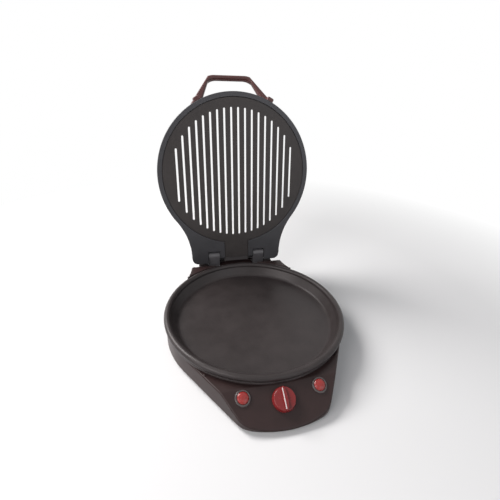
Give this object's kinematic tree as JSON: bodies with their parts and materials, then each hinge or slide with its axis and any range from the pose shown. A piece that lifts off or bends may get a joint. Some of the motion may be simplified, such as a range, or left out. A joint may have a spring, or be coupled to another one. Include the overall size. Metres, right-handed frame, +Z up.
{
  "type": "electric pizza maker",
  "caption": "Round countertop pizza cooker with a shallow pan, a sloped console with knob and lamps, and a hinged slotted lid with a loop handle.",
  "frame": {"origin": "on the table under the middle of the object's box with the lid open, 40.91 mm behind the pan's axis", "axes": "+Z up, -Y towards the console and the user, +X to the user's right"},
  "size_m": [0.34, 0.5298, 0.4415],
  "materials": {
    "housing": "satin charcoal",
    "base_plate": "satin black",
    "rubber": "matt",
    "screws": "zinc plated",
    "pan": "dark non-stick coating",
    "seat": "matt black",
    "heater": "dull oxidised sheath",
    "sheet": "bright sheet",
    "thermostat": "unglazed",
    "brass": "plain",
    "bezel": "glossy",
    "lamp_lens": "translucent red",
    "lamp_holder": "plain",
    "fuse": "plain",
    "terminals": "plain",
    "wires": "silicone insulation",
    "hinge": "satin charcoal",
    "pin": "ground",
    "lid_frame": "dark satin coating",
    "grill_plate": "dark non-stick coating",
    "lid_cover": "satin charcoal",
    "handle": "dark wine red",
    "knob": "glossy red",
    "pointer": "pale"
  },
  "bodies": {
    "base": {"base_housing": "housing", "base_plate": "base_plate", "rubber_feet": "rubber", "foot_screws": "screws", "base_plate_screws": "screws", "screw_caps": "housing", "pan_seat_ring": "seat", "cooking_pan": "pan", "lower_heating_element": "heater", "element_clamps": "sheet", "heat_reflector": "sheet", "reflector_posts": "screws", "post_nuts": "screws", "thermostat_body": "thermostat", "thermostat_bushing": "brass", "thermostat_nut": "brass", "left_lamp_bezel": "bezel", "right_lamp_bezel": "bezel", "left_lamp_lens": "lamp_lens", "right_lamp_lens": "lamp_lens", "left_lamp_holder": "lamp_holder", "right_lamp_holder": "lamp_holder", "thermal_fuse": "fuse", "terminal_block": "terminals", "supply_wires": "wires", "cable_gland": "rubber", "gland_nut": "seat", "left_hinge_arm": "hinge", "right_hinge_arm": "hinge", "hinge_arm_screws": "screws", "left_hinge_pin": "pin", "right_hinge_pin": "pin"},
    "lid": {"lid_frame": "lid_frame", "lid_grill_plate": "grill_plate", "grill_plate_nuts": "screws", "lid_cover": "lid_cover", "lid_cover_screws": "screws", "lid_heating_element": "heater", "lid_reflector": "sheet", "lid_element_clips": "sheet", "lid_terminal_block": "terminals", "lid_handle": "handle", "handle_screws": "screws", "hinge_bushes": "brass"},
    "knob": {"control_knob": "knob", "knob_pointer": "pointer", "thermostat_shaft": "pin"}
  },
  "joints": [
    {"name": "lid_hinge", "type": "hinge", "parent": "base", "child": "lid", "pos_m": [0, 0.14459, 0.07], "axis": [1, 0, 0], "range_deg": [0, 100]},
    {"name": "knob_turn", "type": "hinge", "parent": "base", "child": "knob", "pos_m": [0, -0.22941, 0.02837], "axis": [0, -0.4848, 0.8746], "range_deg": [-135, 135]}
  ]
}
